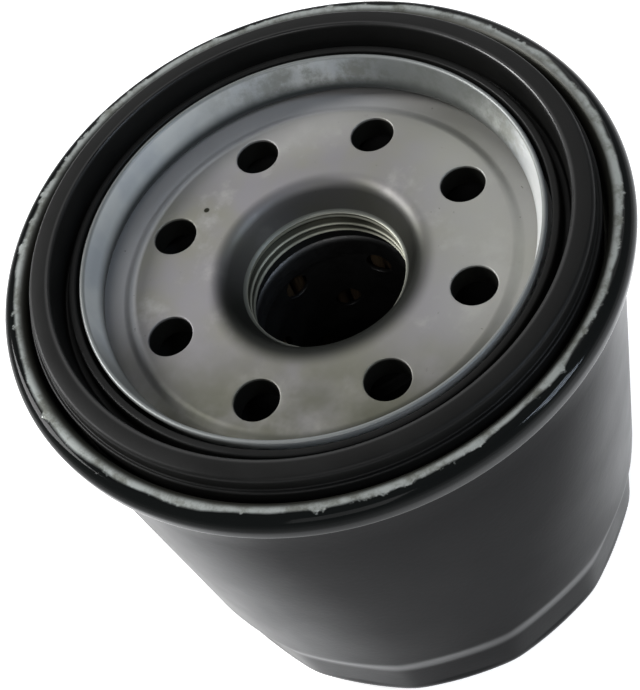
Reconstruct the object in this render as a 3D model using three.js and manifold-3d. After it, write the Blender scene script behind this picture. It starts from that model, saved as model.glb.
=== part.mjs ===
// Spin-on oil filter of a small engine, standing on its closed end.
// Millimetres. +Z points to the gasket end; the origin is the centre of the face it rests on.
import * as THREE from 'three';
import { mergeVertices } from 'three/addons/utils/BufferGeometryUtils.js';
import Module from 'manifold-3d';

const wasm = await Module();
wasm.setup();

// ---- Driving dimensions ----
const GAP = 0.3; // left between pieces that touch
const BIG_ROUND = 48; // facets round the large pressings
const MID_ROUND = 36;
const SMALL_ROUND = 24;

const CAN_RADIUS = 33.1;
const CAN_WALL = 0.45;
const CAN_END_ROUND = 4.0;
const CAN_END_DISH_RADIUS = 21;
const CAN_END_DISH_DEPTH = 1.5;
const CAN_END_DISH_RUN = 2.0; // width of the slope round the dish
const CAN_HOOK = 0.52; // the seam's hook stands this far out of the wall
const CAN_HOOK_TOP = 4.3; // heights above the plate's face
const CAN_HOOK_END = 3.75;
const FLAT_COUNT = 14;
const FLAT_STEPS = 3; // facets across one wrench flat
const FLAT_TURN = 19.8; // degrees from +X to a corner between two flats
const FLAT_TOP = 13.2; // height of the corners between the flats' tops
const FLAT_ARCH = 1.9; // rise of each flat's arched top above its corners

const PLATE_FACE = 58.2; // height of the base plate's outer face
const PLATE_RADIUS = 31.3;
const PLATE_THICKNESS = 3.0;
const PLATE_STEP = 0.4; // the plate's rim lies this much lower than its middle
const PLATE_STEP_RADIUS = 21.6;
const PLATE_STEP_RUN = 0.7; // width of the slope between the two levels
const INLET_COUNT = 8;
const INLET_CIRCLE_RADIUS = 18.2;
const INLET_RADIUS = 2.55;

const THREAD_PITCH = 1.5; // M20 x 1.5 internal thread
const THREAD_MINOR_RADIUS = 9.19;
const THREAD_MAJOR_RADIUS = 10.0;
const THREAD_STEPS = 4; // rings modelled in each pitch
const THREAD_MARGIN = 0.3; // plain bore left above and below the thread
const NECK_LIP_RADIUS = 9.26; // where the funnel ends above the thread
const NECK_FUNNEL_ROUND = 2.4;
const NECK_LENGTH = 7.0;
const NECK_OUTER_RADIUS = 12.2;

const LID_SHEET = 0.6;
const LIP_RADIUS = 24.6; // centre of the sheet at the foot of the gasket channel's inner lip
const LIP_BEND = 0.9;
const LIP_FLARE = 0.75; // how far the lip's edge leans away from the axis
const LIP_HEIGHT = 5.2; // above the plate's face, as are the seam's heights
const SEAM_RADIUS = 34.5;
const SEAM_CREST = 5.6;
const SEAM_FOOT = 2.8;
const SEAM_BEND = 0.6;
const SEAM_FOLD = 0.75; // reach of the edge folded in under the hook
const CHUCK_WALL_BEND = 0.7; // chamfer between the channel's floor and its wall
const CHUCK_WALL_RADIUS = 31.95;

const GASKET_INNER_RADIUS = 26.05;
const GASKET_OUTER_RADIUS = 31.1;
const GASKET_CHAMFER = 1.0; // at the foot, over the lip's bend
const RIDGE_INNER_RADIUS = 28.1; // the raised sealing ridge
const RIDGE_OUTER_RADIUS = 30.45;
const RIDGE_EDGE = 0.35;
const GASKET_TOP = 7.2;
const GASKET_STEP_TOP = 4.6; // top of the lower steps inside and outside the ridge

const HUB_BORE_RADIUS = 9.8; // anti-drainback valve
const HUB_RADIUS = 15.2;
const HUB_SLEEVE_RADIUS = 13.9; // the sleeve grips the neck
const HUB_SLEEVE = 2.1;
const MEMBRANE_INNER_RADIUS = 15.5;
const MEMBRANE_OUTER_RADIUS = 23.0;
const MEMBRANE_THICKNESS = 1.2;
const FLAP_RADIUS = 25.6; // outermost edge of the sealing lip
const FLAP_HEIGHT = 2.0;

const CAP_SHEET = 0.5;
const CAP_RADIUS = 27.2; // centre of the sheet in the end caps' rims
const CAP_RIM = 3.2;
const UPPER_CAP_HEIGHT = 48.95;
const LOWER_CAP_HEIGHT = 16.65;
const LOWER_CAP_HOLE_RADIUS = 8.2;
const POTTING_THICKNESS = 0.9;

const TUBE_INNER_RADIUS = 10.75;
const TUBE_OUTER_RADIUS = 11.25;
const TUBE_ROWS = 4;
const TUBE_HOLE_PAIRS = 3;
const TUBE_HOLE_RADIUS = 1.7;

const PLEAT_COUNT = 36;
const PAPER = 0.6;
const PLEAT_OUTER_RADIUS = 26.0;
const PLEAT_INNER_RADIUS = 12.0;
const FOLD_HALF_WIDTH = 0.45;
const CLIP_PLEAT = 0; // the pleat that the clip closes
const CLIP_SHEET = 0.4;
const CLIP_DEPTH = 3.4;
const CLIP_HALF_WIDTH = 1.25;
const CLIP_TUCK = 1.2; // the clipped fold lies this much further in

const SEAT_BORE_RADIUS = 5.0; // bypass valve
const SEAT_TOP = 17.6;
const SEAT_FLANGE = 0.9;
const SEAT_FLANGE_REACH = 1.3;
const BYPASS_SEAL_RADIUS = 6.4;
const BYPASS_DISC_RADIUS = 6.8;
const BYPASS_WASHER = 0.7; // thickness of the seal, and of the disc
const STEM_RADIUS = 1.2;
const STEM_HEAD_RADIUS = 2.6;
const STEM_HEAD = 0.8;
const STEM_COLLAR_RADIUS = 2.2;
const STEM_COLLAR = 0.6;
const STEM_RISE = 2.9; // above the cage
const CAGE_RADIUS = 8.6;
const CAGE_BRIM = 1.5;
const CAGE_TOP = 28.6;
const CAGE_WINDOW = 7.0;
const CAGE_WINDOW_HEIGHT = 23.2; // height of the windows' middle

// ---- Derived heights ----
const PLATE_UNDERSIDE = PLATE_FACE - PLATE_THICKNESS;
const PLATE_RIM_FACE = PLATE_FACE - PLATE_STEP;
const NECK_END = PLATE_FACE - NECK_LENGTH;
const UPPER_CAP_UNDERSIDE = UPPER_CAP_HEIGHT - CAP_SHEET / 2;
const LOWER_CAP_UPPERSIDE = LOWER_CAP_HEIGHT + CAP_SHEET / 2;
const LOWER_CAP_UNDERSIDE = LOWER_CAP_HEIGHT - CAP_SHEET / 2;
const LOWER_POTTING_TOP = LOWER_CAP_UPPERSIDE + GAP + POTTING_THICKNESS;
const UPPER_POTTING_FOOT = UPPER_CAP_UNDERSIDE - GAP - POTTING_THICKNESS;
const MEDIA_FOOT = LOWER_POTTING_TOP + GAP;
const MEDIA_TOP = UPPER_POTTING_FOOT - GAP;

// ---- Materials ----
function finish(color, roughness, metalness) {
  return new THREE.MeshStandardMaterial({ color, roughness, metalness });
}
const blackPaint = finish(0x2c2d2f, 0.4, 0.0);
const plateSteel = finish(0x8b8a84, 0.45, 0.8);
const zincSteel = finish(0xb9c0bf, 0.35, 0.85);
const gasketRubber = finish(0x1d1c1b, 0.55, 0.0);
const valveRubber = finish(0x141414, 0.7, 0.0);
const capSteel = finish(0xa3a59f, 0.4, 0.8);
const springSteel = finish(0x6f7274, 0.35, 0.9);
const filterPaper = finish(0xd9b56b, 0.95, 0.0);
const pottingResin = finish(0xe2dccb, 0.6, 0.0);

// ---- Geometry helpers ----

// Keeps positions only, shares vertices, and turns the faces out.
function weld(source) {
  const bare = source.index ? source.toNonIndexed() : source.clone();
  for (const name of Object.keys(bare.attributes)) {
    if (name !== 'position') bare.deleteAttribute(name);
  }
  const geometry = mergeVertices(bare, 1e-4);
  const corners = [new THREE.Vector3(), new THREE.Vector3(), new THREE.Vector3()];
  const kept = [];
  let volume = 0;
  for (let i = 0; i < geometry.index.count; i += 3) {
    const ids = [0, 1, 2].map((k) => geometry.index.getX(i + k));
    if (ids[0] === ids[1] || ids[1] === ids[2] || ids[2] === ids[0]) continue;
    ids.forEach((id, k) => corners[k].fromBufferAttribute(geometry.attributes.position, id));
    volume += corners[0].dot(corners[1].clone().cross(corners[2]));
    kept.push(ids);
  }
  if (volume < 0) kept.forEach((ids) => ids.reverse());
  geometry.setIndex(kept.flat());
  return geometry;
}

// Turns a closed outline of [radius, height] points about Z.
function turned(outline, segments = BIG_ROUND) {
  const points = outline.map(([r, z]) => new THREE.Vector2(r, z));
  if (outline[0][0] > 0) points.push(points[0].clone());
  const geometry = new THREE.LatheGeometry(points, segments);
  geometry.rotateX(Math.PI / 2);
  return weld(geometry);
}

// Points along an arc, angles in degrees from the outward radius.
function arc(r, z, radius, from, to, steps) {
  const points = [];
  for (let i = 0; i <= steps; i += 1) {
    const angle = THREE.MathUtils.degToRad(from + ((to - from) * i) / steps);
    points.push([r + radius * Math.cos(angle), z + radius * Math.sin(angle)]);
  }
  return points;
}

// One side of a line thickened by a mitred offset.
function offset(line, distance, closed = false) {
  const count = line.length;
  const normal = (a, b) => {
    const length = Math.hypot(b[0] - a[0], b[1] - a[1]);
    return [(b[1] - a[1]) / length, (a[0] - b[0]) / length];
  };
  return line.map((point, i) => {
    const hasBefore = closed || i > 0;
    const hasAfter = closed || i < count - 1;
    const before = hasBefore ? normal(line[(i + count - 1) % count], point) : null;
    const after = hasAfter ? normal(point, line[(i + 1) % count]) : null;
    const a = before ?? after;
    const b = after ?? before;
    const scale = distance / (1 + a[0] * b[0] + a[1] * b[1]);
    return [point[0] + (a[0] + b[0]) * scale, point[1] + (a[1] + b[1]) * scale];
  });
}

// Outline of a pressed sheet, from the line through the middle of its thickness.
function sheet(line, thickness) {
  return [...offset(line, thickness / 2), ...offset(line, -thickness / 2).reverse()];
}

const ring = (inner, outer, foot, top) => [[inner, foot], [outer, foot], [outer, top], [inner, top]];

function toSolid(geometry) {
  const vertProperties = new Float32Array(geometry.attributes.position.array);
  const triVerts = new Uint32Array(geometry.index.array);
  return new wasm.Manifold(new wasm.Mesh({ numProp: 3, vertProperties, triVerts }));
}

// Cuts every tool out of a piece.
function cut(geometry, tools) {
  let solid = toSolid(geometry);
  for (const tool of tools) solid = solid.subtract(toSolid(weld(tool)));
  const { vertProperties, triVerts } = solid.getMesh();
  const result = new THREE.BufferGeometry();
  result.setAttribute('position', new THREE.BufferAttribute(vertProperties, 3));
  result.setIndex(new THREE.BufferAttribute(triVerts, 1));
  return result;
}

// A round wire wound into a coil; each end's radius may differ.
function coil({ foot, top, footRadius, topRadius, wire, turns, stepsPerTurn, sides }) {
  const steps = Math.round(turns * stepsPerTurn);
  const points = [];
  for (let i = 0; i <= steps; i += 1) {
    const t = i / steps;
    const angle = t * turns * 2 * Math.PI;
    const r = THREE.MathUtils.lerp(footRadius, topRadius, t);
    const z = THREE.MathUtils.lerp(foot + wire / 2, top - wire / 2, t);
    points.push(new THREE.Vector3(r * Math.cos(angle), r * Math.sin(angle), z));
  }
  const path = new THREE.CatmullRomCurve3(points);
  const section = new THREE.Shape();
  for (let i = 0; i < sides; i += 1) {
    const angle = (i / sides) * 2 * Math.PI;
    const x = (wire / 2) * Math.cos(angle);
    const y = (wire / 2) * Math.sin(angle);
    if (i === 0) section.moveTo(x, y);
    else section.lineTo(x, y);
  }
  return weld(new THREE.ExtrudeGeometry(section, { steps, extrudePath: path }));
}

const filter = new THREE.Group();

function add(group, name, geometry, material) {
  const mesh = new THREE.Mesh(geometry, material);
  mesh.name = name;
  group.add(mesh);
}

// ---- Housing ----

// How far a wrench flat draws the can's wall in, at one angle and height.
function flatDepth(angle, z) {
  const pitch = (2 * Math.PI) / FLAT_COUNT;
  const turn = THREE.MathUtils.degToRad(FLAT_TURN);
  const local = THREE.MathUtils.euclideanModulo(angle - turn, pitch) - pitch / 2;
  const apothem = CAN_RADIUS * Math.cos(pitch / 2);
  const rise = Math.max(0, z - FLAT_TOP) / FLAT_ARCH;
  const distance = apothem + (CAN_RADIUS - apothem) * rise;
  return Math.max(0, CAN_RADIUS - distance / Math.cos(local));
}

// The drawn can, with its dished end and the hook that the seam closes over.
function canGeometry() {
  const wall = CAN_RADIUS - CAN_WALL / 2;
  const foot = CAN_WALL / 2;
  const corner = CAN_RADIUS - CAN_END_ROUND;
  const hookTop = PLATE_FACE + CAN_HOOK_TOP;
  const hook = wall + CAN_HOOK;
  const line = [
    [0, foot + CAN_END_DISH_DEPTH],
    [CAN_END_DISH_RADIUS, foot + CAN_END_DISH_DEPTH],
    [CAN_END_DISH_RADIUS + CAN_END_DISH_RUN, foot],
    ...arc(corner, CAN_END_ROUND, CAN_END_ROUND - foot, -90, 0, 3),
    [wall, FLAT_TOP],
    [wall, FLAT_TOP + FLAT_ARCH / 2],
    [wall, FLAT_TOP + FLAT_ARCH],
    [wall, hookTop],
    [hook, hookTop],
    [hook, PLATE_FACE + CAN_HOOK_END],
  ];
  const geometry = turned(sheet(line, CAN_WALL), FLAT_COUNT * FLAT_STEPS);
  geometry.rotateZ(THREE.MathUtils.degToRad(FLAT_TURN));
  const position = geometry.attributes.position;
  for (let i = 0; i < position.count; i += 1) {
    const radius = Math.hypot(position.getX(i), position.getY(i));
    if (radius < corner - 1) continue;
    const angle = Math.atan2(position.getY(i), position.getX(i));
    const scale = 1 - flatDepth(angle, position.getZ(i)) / radius;
    position.setXY(i, position.getX(i) * scale, position.getY(i) * scale);
  }
  return geometry;
}

// The plate with its inlet holes, and the neck whose bore carries the thread.
function basePlateGeometry() {
  const lip = PLATE_FACE - NECK_FUNNEL_ROUND;
  const threadTop = lip - THREAD_MARGIN;
  const threaded = threadTop - NECK_END - THREAD_MARGIN;
  const rings = Math.floor((threaded / THREAD_PITCH) * THREAD_STEPS);
  const thread = [];
  for (let i = 0; i <= rings; i += 1) {
    thread.push([THREAD_MINOR_RADIUS, threadTop - (i * THREAD_PITCH) / THREAD_STEPS]);
  }
  const outline = [
    [PLATE_RADIUS, PLATE_UNDERSIDE],
    [PLATE_RADIUS, PLATE_RIM_FACE],
    [PLATE_STEP_RADIUS + PLATE_STEP_RUN, PLATE_RIM_FACE],
    [PLATE_STEP_RADIUS, PLATE_FACE],
    ...arc(NECK_LIP_RADIUS + NECK_FUNNEL_ROUND, lip, NECK_FUNNEL_ROUND, 90, 180, 4),
    ...thread,
    [THREAD_MAJOR_RADIUS, NECK_END],
    [NECK_OUTER_RADIUS, NECK_END],
    [NECK_OUTER_RADIUS, PLATE_UNDERSIDE],
  ];
  const geometry = turned(outline);
  cutThread(geometry, threadTop, threadTop - (rings * THREAD_PITCH) / THREAD_STEPS);
  const drills = [];
  for (let i = 0; i < INLET_COUNT; i += 1) {
    const angle = (i / INLET_COUNT) * 2 * Math.PI;
    const drill = new THREE.CylinderGeometry(INLET_RADIUS, INLET_RADIUS, 3 * PLATE_THICKNESS, 16);
    drill.rotateX(Math.PI / 2);
    drill.translate(INLET_CIRCLE_RADIUS * Math.cos(angle), INLET_CIRCLE_RADIUS * Math.sin(angle), PLATE_FACE);
    drills.push(drill);
  }
  return cut(geometry, drills);
}

// Pushes the bore's inner rings out along a right-hand helix.
function cutThread(geometry, top, foot) {
  const depth = THREAD_MAJOR_RADIUS - THREAD_MINOR_RADIUS;
  const position = geometry.attributes.position;
  for (let i = 0; i < position.count; i += 1) {
    const radius = Math.hypot(position.getX(i), position.getY(i));
    const z = position.getZ(i);
    const inside = z < top - 0.01 && z > foot + 0.01 && radius < THREAD_MINOR_RADIUS + 0.01;
    if (!inside) continue;
    const turn = Math.atan2(position.getY(i), position.getX(i)) / (2 * Math.PI);
    const phase = THREE.MathUtils.euclideanModulo(z / THREAD_PITCH - turn, 1);
    const grown = (radius + depth * (1 - Math.abs(2 * phase - 1))) / radius;
    position.setXY(i, position.getX(i) * grown, position.getY(i) * grown);
  }
}

// The thin lid: inner lip, gasket channel, and the outer edge rolled over the can's hook.
function seamingLidGeometry() {
  const floor = PLATE_RIM_FACE + GAP + LID_SHEET / 2;
  const crest = PLATE_FACE + SEAM_CREST - LID_SHEET / 2;
  const outer = SEAM_RADIUS - LID_SHEET / 2;
  const foot = PLATE_FACE + SEAM_FOOT + LID_SHEET / 2;
  const line = [
    [LIP_RADIUS + LIP_FLARE, PLATE_FACE + LIP_HEIGHT],
    ...arc(LIP_RADIUS + LIP_BEND, floor + LIP_BEND, LIP_BEND, 180, 270, 2),
    [CHUCK_WALL_RADIUS - CHUCK_WALL_BEND, floor],
    [CHUCK_WALL_RADIUS, floor + CHUCK_WALL_BEND],
    [CHUCK_WALL_RADIUS, crest - SEAM_BEND],
    [CHUCK_WALL_RADIUS + SEAM_BEND - 0.1, crest],
    [outer - SEAM_BEND, crest],
    [outer, crest - SEAM_BEND],
    [outer, foot],
    [outer - SEAM_FOLD, foot],
  ];
  return turned(sheet(line, LID_SHEET));
}

// The gasket: a ring with a raised sealing ridge between two lower steps.
function gasketGeometry() {
  const foot = PLATE_RIM_FACE + 2 * GAP + LID_SHEET;
  const top = PLATE_FACE + GASKET_TOP;
  const step = PLATE_FACE + GASKET_STEP_TOP;
  return turned([
    [GASKET_INNER_RADIUS + GASKET_CHAMFER, foot],
    [GASKET_OUTER_RADIUS, foot],
    [GASKET_OUTER_RADIUS, step],
    [RIDGE_OUTER_RADIUS, step],
    [RIDGE_OUTER_RADIUS, top - RIDGE_EDGE],
    [RIDGE_OUTER_RADIUS - RIDGE_EDGE, top],
    [RIDGE_INNER_RADIUS + RIDGE_EDGE, top],
    [RIDGE_INNER_RADIUS, top - RIDGE_EDGE],
    [RIDGE_INNER_RADIUS, step],
    [GASKET_INNER_RADIUS, step],
    [GASKET_INNER_RADIUS, foot + GASKET_CHAMFER],
  ]);
}

const housing = new THREE.Group();
add(housing, 'can', canGeometry(), blackPaint);
add(housing, 'base_plate', basePlateGeometry(), plateSteel);
add(housing, 'seaming_lid', seamingLidGeometry(), zincSteel);
add(housing, 'sealing_gasket', gasketGeometry(), gasketRubber);
filter.add(housing);

// ---- Anti-drainback valve: clamped hub, flexing membrane, sealing lip ----
const drainback = new THREE.Group();
const hubTop = NECK_END - GAP;
const hubFoot = UPPER_CAP_HEIGHT + CAP_SHEET / 2 + GAP;
const sleeveTop = hubTop + HUB_SLEEVE;
const hubOutline = [
  [HUB_BORE_RADIUS, hubFoot],
  [HUB_RADIUS, hubFoot],
  [HUB_RADIUS, hubTop],
  [HUB_SLEEVE_RADIUS, hubTop],
  [HUB_SLEEVE_RADIUS, sleeveTop],
  [NECK_OUTER_RADIUS + GAP, sleeveTop],
  [NECK_OUTER_RADIUS + GAP, hubTop],
  [HUB_BORE_RADIUS, hubTop],
];
const flapTop = PLATE_UNDERSIDE - GAP;
const membraneTop = flapTop - 0.9;
const membraneOutline = [
  [MEMBRANE_INNER_RADIUS, hubFoot + 0.2],
  [MEMBRANE_OUTER_RADIUS, membraneTop - MEMBRANE_THICKNESS],
  [MEMBRANE_OUTER_RADIUS, membraneTop],
  [MEMBRANE_INNER_RADIUS, hubTop],
];
const flapRoot = MEMBRANE_OUTER_RADIUS + GAP;
const flapOutline = [
  [flapRoot, flapTop - FLAP_HEIGHT],
  [FLAP_RADIUS - 0.4, flapTop - FLAP_HEIGHT + 0.4],
  [FLAP_RADIUS, membraneTop],
  [FLAP_RADIUS - 0.6, flapTop],
  [flapRoot, membraneTop + 0.2],
];
add(drainback, 'drainback_hub', turned(hubOutline, MID_ROUND), valveRubber);
add(drainback, 'drainback_membrane', turned(membraneOutline, MID_ROUND), valveRubber);
add(drainback, 'drainback_lip', turned(flapOutline, MID_ROUND), valveRubber);
filter.add(drainback);

// ---- Filter element ----

// The perforated steel tube that the paper is wrapped round.
function centreTubeGeometry() {
  const foot = LOWER_CAP_UPPERSIDE + GAP;
  const top = UPPER_CAP_UNDERSIDE - GAP;
  const drills = [];
  for (let row = 0; row < TUBE_ROWS; row += 1) {
    for (let pair = 0; pair < TUBE_HOLE_PAIRS; pair += 1) {
      const drill = new THREE.CylinderGeometry(TUBE_HOLE_RADIUS, TUBE_HOLE_RADIUS, 3 * TUBE_OUTER_RADIUS, 8);
      drill.rotateZ(((pair + (row % 2) / 2) * Math.PI) / TUBE_HOLE_PAIRS);
      drill.translate(0, 0, THREE.MathUtils.lerp(foot, top, (row + 0.8) / (TUBE_ROWS + 0.6)));
      drills.push(drill);
    }
  }
  return cut(turned(ring(TUBE_INNER_RADIUS, TUBE_OUTER_RADIUS, foot, top), SMALL_ROUND), drills);
}

// The paper's folds, seen from above: each pleat has a flat outer and inner fold.
function pleatLine() {
  const line = [];
  for (let i = 0; i < PLEAT_COUNT; i += 1) {
    const outer = i === CLIP_PLEAT ? PLEAT_OUTER_RADIUS - CLIP_TUCK : PLEAT_OUTER_RADIUS;
    const inner = PLEAT_INNER_RADIUS;
    const middle = (i / PLEAT_COUNT) * 2 * Math.PI;
    const between = middle + Math.PI / PLEAT_COUNT;
    const corners = [
      [outer, middle - FOLD_HALF_WIDTH / outer],
      [outer, middle + FOLD_HALF_WIDTH / outer],
      [inner, between - FOLD_HALF_WIDTH / inner],
      [inner, between + FOLD_HALF_WIDTH / inner],
    ];
    line.push(...corners.map(([r, angle]) => [r * Math.cos(angle), r * Math.sin(angle)]));
  }
  return line;
}

function extrudeUp(outline, holes, foot, top) {
  const shape = new THREE.Shape(outline.map(([x, y]) => new THREE.Vector2(x, y)));
  for (const hole of holes) shape.holes.push(new THREE.Path(hole.map(([x, y]) => new THREE.Vector2(x, y))));
  const geometry = new THREE.ExtrudeGeometry(shape, { depth: top - foot, bevelEnabled: false });
  geometry.translate(0, 0, foot);
  return weld(geometry);
}

function mediaGeometry() {
  const line = pleatLine();
  return extrudeUp(offset(line, PAPER / 2, true), [offset(line, -PAPER / 2, true)], MEDIA_FOOT, MEDIA_TOP);
}

// The crimped strip that joins the two ends of the paper, over the fold at +X.
function seamClipGeometry() {
  const outside = PLEAT_OUTER_RADIUS + CLIP_SHEET / 2;
  const inside = outside - CLIP_DEPTH;
  const half = CLIP_HALF_WIDTH;
  const line = [[inside, -half], [outside, -half], [outside, half], [inside, half]];
  return extrudeUp(sheet(line, CLIP_SHEET), [], MEDIA_FOOT + GAP, MEDIA_TOP - GAP);
}

const element = new THREE.Group();
const rimTop = LOWER_CAP_HEIGHT + CAP_RIM;
const rimFoot = UPPER_CAP_HEIGHT - CAP_RIM;
const collarRadius = TUBE_INNER_RADIUS - GAP - CAP_SHEET / 2;
const upperCapLine = [
  [collarRadius, rimFoot],
  [collarRadius, UPPER_CAP_HEIGHT],
  [CAP_RADIUS, UPPER_CAP_HEIGHT],
  [CAP_RADIUS, rimFoot],
];
const lowerCapLine = [
  [LOWER_CAP_HOLE_RADIUS, LOWER_CAP_HEIGHT],
  [CAP_RADIUS, LOWER_CAP_HEIGHT],
  [CAP_RADIUS, rimTop],
];
const pottingInner = TUBE_OUTER_RADIUS + GAP;
const pottingOuter = CAP_RADIUS - CAP_SHEET / 2 - GAP;
const upperPottingTop = UPPER_POTTING_FOOT + POTTING_THICKNESS;
const lowerPottingFoot = LOWER_POTTING_TOP - POTTING_THICKNESS;
const upperPotting = ring(pottingInner, pottingOuter, UPPER_POTTING_FOOT, upperPottingTop);
const lowerPotting = ring(pottingInner, pottingOuter, lowerPottingFoot, LOWER_POTTING_TOP);
add(element, 'upper_end_cap', turned(sheet(upperCapLine, CAP_SHEET), MID_ROUND), capSteel);
add(element, 'upper_potting', turned(upperPotting, MID_ROUND), pottingResin);
add(element, 'pleated_media', mediaGeometry(), filterPaper);
add(element, 'media_seam_clip', seamClipGeometry(), capSteel);
add(element, 'centre_tube', centreTubeGeometry(), capSteel);
add(element, 'lower_potting', turned(lowerPotting, MID_ROUND), pottingResin);
add(element, 'lower_end_cap', turned(sheet(lowerCapLine, CAP_SHEET), MID_ROUND), capSteel);
filter.add(element);

// ---- Bypass valve in the lower end cap ----

// The cage that carries the spring's upper end, with windows for the oil.
function bypassCageGeometry() {
  const footHeight = LOWER_CAP_UPPERSIDE + GAP + CAP_SHEET / 2;
  const line = [
    [CAGE_RADIUS + CAGE_BRIM, footHeight],
    [CAGE_RADIUS, footHeight],
    [CAGE_RADIUS, CAGE_TOP],
    [STEM_RADIUS + 2 * GAP, CAGE_TOP],
  ];
  const windows = [0, 1].map((i) => {
    const opening = new THREE.BoxGeometry(4 * CAGE_RADIUS, CAGE_WINDOW, CAGE_WINDOW);
    opening.rotateZ((i * Math.PI) / 2);
    opening.translate(0, 0, CAGE_WINDOW_HEIGHT);
    return opening;
  });
  return cut(turned(sheet(line, CAP_SHEET), SMALL_ROUND), windows);
}

const bypass = new THREE.Group();
const flangeTop = LOWER_CAP_UNDERSIDE - GAP;
const flangeFoot = flangeTop - SEAT_FLANGE;
const flangeRadius = LOWER_CAP_HOLE_RADIUS + SEAT_FLANGE_REACH;
const seatOutline = [
  [SEAT_BORE_RADIUS, flangeFoot],
  [flangeRadius, flangeFoot],
  [flangeRadius, flangeTop],
  [LOWER_CAP_HOLE_RADIUS - GAP, flangeTop],
  [LOWER_CAP_HOLE_RADIUS - GAP, SEAT_TOP],
  [SEAT_BORE_RADIUS, SEAT_TOP],
];
const sealFoot = SEAT_TOP + GAP;
const discFoot = sealFoot + BYPASS_WASHER + GAP;
const discTop = discFoot + BYPASS_WASHER;
const collarFoot = discTop + GAP;
const stemTop = CAGE_TOP + STEM_RISE;
const stemOutline = [
  [0, SEAT_TOP - STEM_HEAD],
  [STEM_HEAD_RADIUS, SEAT_TOP - STEM_HEAD],
  [STEM_HEAD_RADIUS, SEAT_TOP],
  [STEM_RADIUS, SEAT_TOP],
  [STEM_RADIUS, collarFoot],
  [STEM_COLLAR_RADIUS, collarFoot],
  [STEM_COLLAR_RADIUS, collarFoot + STEM_COLLAR],
  [STEM_RADIUS, collarFoot + STEM_COLLAR],
  [STEM_RADIUS, stemTop],
  [0, stemTop],
];
const sealOutline = ring(STEM_RADIUS + GAP, BYPASS_SEAL_RADIUS, sealFoot, sealFoot + BYPASS_WASHER);
const discOutline = ring(STEM_RADIUS + GAP, BYPASS_DISC_RADIUS, discFoot, discTop);
const bypassSpring = coil({
  foot: discTop + GAP,
  top: CAGE_TOP - CAP_SHEET / 2 - GAP,
  footRadius: 4.2,
  topRadius: 4.2,
  wire: 0.9,
  turns: 4.5,
  stepsPerTurn: 10,
  sides: 6,
});
add(bypass, 'bypass_seat', turned(seatOutline, SMALL_ROUND), capSteel);
add(bypass, 'bypass_seal', turned(sealOutline, SMALL_ROUND), valveRubber);
add(bypass, 'bypass_disc', turned(discOutline, SMALL_ROUND), capSteel);
add(bypass, 'bypass_stem', turned(stemOutline, 12), springSteel);
add(bypass, 'bypass_spring', bypassSpring, springSteel);
add(bypass, 'bypass_cage', bypassCageGeometry(), capSteel);
filter.add(bypass);

// ---- Spring that holds the element up against the base plate's neck ----
const elementSpring = coil({
  foot: CAN_END_DISH_DEPTH + CAN_WALL + GAP,
  top: LOWER_CAP_UNDERSIDE - GAP,
  footRadius: 15,
  topRadius: 12.5,
  wire: 1.6,
  turns: 3.5,
  stepsPerTurn: 12,
  sides: 6,
});
add(filter, 'element_spring', elementSpring, springSteel);

export default filter;
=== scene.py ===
"""Looks of a spin-on oil filter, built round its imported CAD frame.

Lengths in this script are millimetres, and heights are measured from z = 0, where the can rests.
A mesh is turned into metres as it is made, so every piece lies where the CAD says.
"""
import math

import bmesh
import bpy
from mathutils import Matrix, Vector, noise


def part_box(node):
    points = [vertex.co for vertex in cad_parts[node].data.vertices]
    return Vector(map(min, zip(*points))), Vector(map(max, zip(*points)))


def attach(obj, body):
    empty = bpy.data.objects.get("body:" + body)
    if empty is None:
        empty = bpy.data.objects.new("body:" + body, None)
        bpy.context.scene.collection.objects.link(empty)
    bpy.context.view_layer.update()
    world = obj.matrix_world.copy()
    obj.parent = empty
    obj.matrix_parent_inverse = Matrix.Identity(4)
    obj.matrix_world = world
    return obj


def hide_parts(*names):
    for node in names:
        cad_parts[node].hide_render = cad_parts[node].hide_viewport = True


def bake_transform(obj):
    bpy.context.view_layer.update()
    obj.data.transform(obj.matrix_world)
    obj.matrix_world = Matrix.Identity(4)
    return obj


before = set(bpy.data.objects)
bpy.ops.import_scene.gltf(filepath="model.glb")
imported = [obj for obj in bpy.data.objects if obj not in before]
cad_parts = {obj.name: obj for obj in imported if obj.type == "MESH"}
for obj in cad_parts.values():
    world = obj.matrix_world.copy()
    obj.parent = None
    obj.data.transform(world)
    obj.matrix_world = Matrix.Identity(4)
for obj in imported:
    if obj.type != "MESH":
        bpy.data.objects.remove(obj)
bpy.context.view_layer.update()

MM = 0.001  # metres in a millimetre
PER_METRE = 1000  # millimetres in a metre, for the materials


# ---- Places and sizes that the frame gives ----
def low(node):
    """A CAD node's lowest corner, in millimetres."""
    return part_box(node)[0] / MM


def high(node):
    """A CAD node's highest corner, in millimetres."""
    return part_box(node)[1] / MM


def low_inner(node):
    """The smallest distance of a CAD node's corners from the axis, in millimetres."""
    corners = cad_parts[node].data.vertices
    return min(math.hypot(corner.co.x, corner.co.y) for corner in corners) / MM


PLATE_FACE = high("base_plate").z
PLATE_RADIUS = high("base_plate").x
NECK_END = low("base_plate").z
SEAM_RADIUS = high("seaming_lid").x
SEAM_TOP = high("seaming_lid").z
GASKET_FOOT = low("sealing_gasket").z
GASKET_TOP = high("sealing_gasket").z
GASKET_RADIUS = high("sealing_gasket").x
CAN_TOP = high("can").z

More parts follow.
